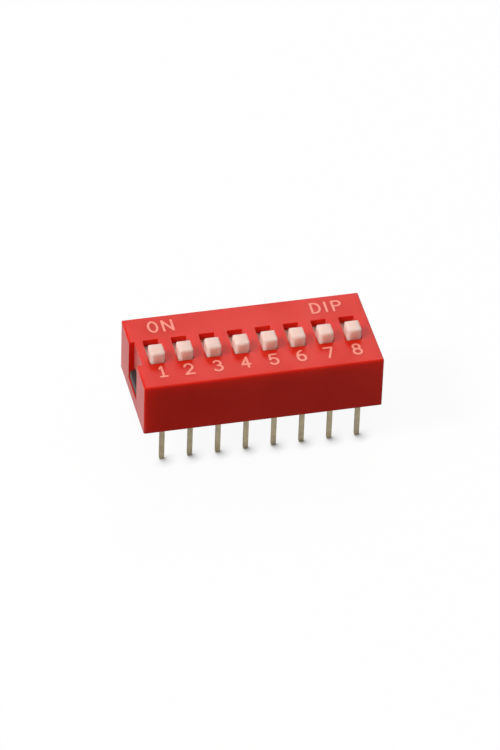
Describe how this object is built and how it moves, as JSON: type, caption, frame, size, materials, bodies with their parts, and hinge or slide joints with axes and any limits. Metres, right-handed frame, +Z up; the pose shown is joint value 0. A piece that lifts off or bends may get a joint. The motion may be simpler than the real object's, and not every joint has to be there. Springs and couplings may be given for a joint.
{
  "type": "dip switch",
  "caption": "Slide switch block for circuit boards: a row of raised white sliders in a red cover over two rows of through-hole pins.",
  "frame": {"origin": "centre of the grid of pins, on the seating face that lies on the circuit board", "axes": "+X along the row of switches from 1 to 8, +Y towards the ON side, +Z up out of the board"},
  "size_m": [0.0216, 0.0098, 0.0101],
  "materials": {
    "cover": "satin moulded red plastic",
    "base": "matt moulded black plastic",
    "slider": "satin off-white plastic",
    "moving_contact": "gold-plated spring strip",
    "terminal": "thin gold plating over brass strip",
    "legend": "white pad print"
  },
  "bodies": {
    "housing": {"cover": "cover", "base": "base", "front_terminal_1": "terminal", "rear_terminal_1": "terminal", "front_terminal_2": "terminal", "rear_terminal_2": "terminal", "front_terminal_3": "terminal", "rear_terminal_3": "terminal", "front_terminal_4": "terminal", "rear_terminal_4": "terminal", "front_terminal_5": "terminal", "rear_terminal_5": "terminal", "front_terminal_6": "terminal", "rear_terminal_6": "terminal", "front_terminal_7": "terminal", "rear_terminal_7": "terminal", "front_terminal_8": "terminal", "rear_terminal_8": "terminal"},
    "switch_1": {"slider_1": "slider", "moving_contact_1": "moving_contact"},
    "switch_2": {"slider_2": "slider", "moving_contact_2": "moving_contact"},
    "switch_3": {"slider_3": "slider", "moving_contact_3": "moving_contact"},
    "switch_4": {"slider_4": "slider", "moving_contact_4": "moving_contact"},
    "switch_5": {"slider_5": "slider", "moving_contact_5": "moving_contact"},
    "switch_6": {"slider_6": "slider", "moving_contact_6": "moving_contact"},
    "switch_7": {"slider_7": "slider", "moving_contact_7": "moving_contact"},
    "switch_8": {"slider_8": "slider", "moving_contact_8": "moving_contact"}
  },
  "joints": [
    {"name": "switch_1_slide", "type": "slide", "parent": "housing", "child": "switch_1", "axis": [0, 1, 0], "range_m": [0, 0.0018]},
    {"name": "switch_2_slide", "type": "slide", "parent": "housing", "child": "switch_2", "axis": [0, 1, 0], "range_m": [0, 0.0018]},
    {"name": "switch_3_slide", "type": "slide", "parent": "housing", "child": "switch_3", "axis": [0, 1, 0], "range_m": [0, 0.0018]},
    {"name": "switch_4_slide", "type": "slide", "parent": "housing", "child": "switch_4", "axis": [0, 1, 0], "range_m": [0, 0.0018]},
    {"name": "switch_5_slide", "type": "slide", "parent": "housing", "child": "switch_5", "axis": [0, 1, 0], "range_m": [0, 0.0018]},
    {"name": "switch_6_slide", "type": "slide", "parent": "housing", "child": "switch_6", "axis": [0, 1, 0], "range_m": [0, 0.0018]},
    {"name": "switch_7_slide", "type": "slide", "parent": "housing", "child": "switch_7", "axis": [0, 1, 0], "range_m": [0, 0.0018]},
    {"name": "switch_8_slide", "type": "slide", "parent": "housing", "child": "switch_8", "axis": [0, 1, 0], "range_m": [0, 0.0018]}
  ]
}
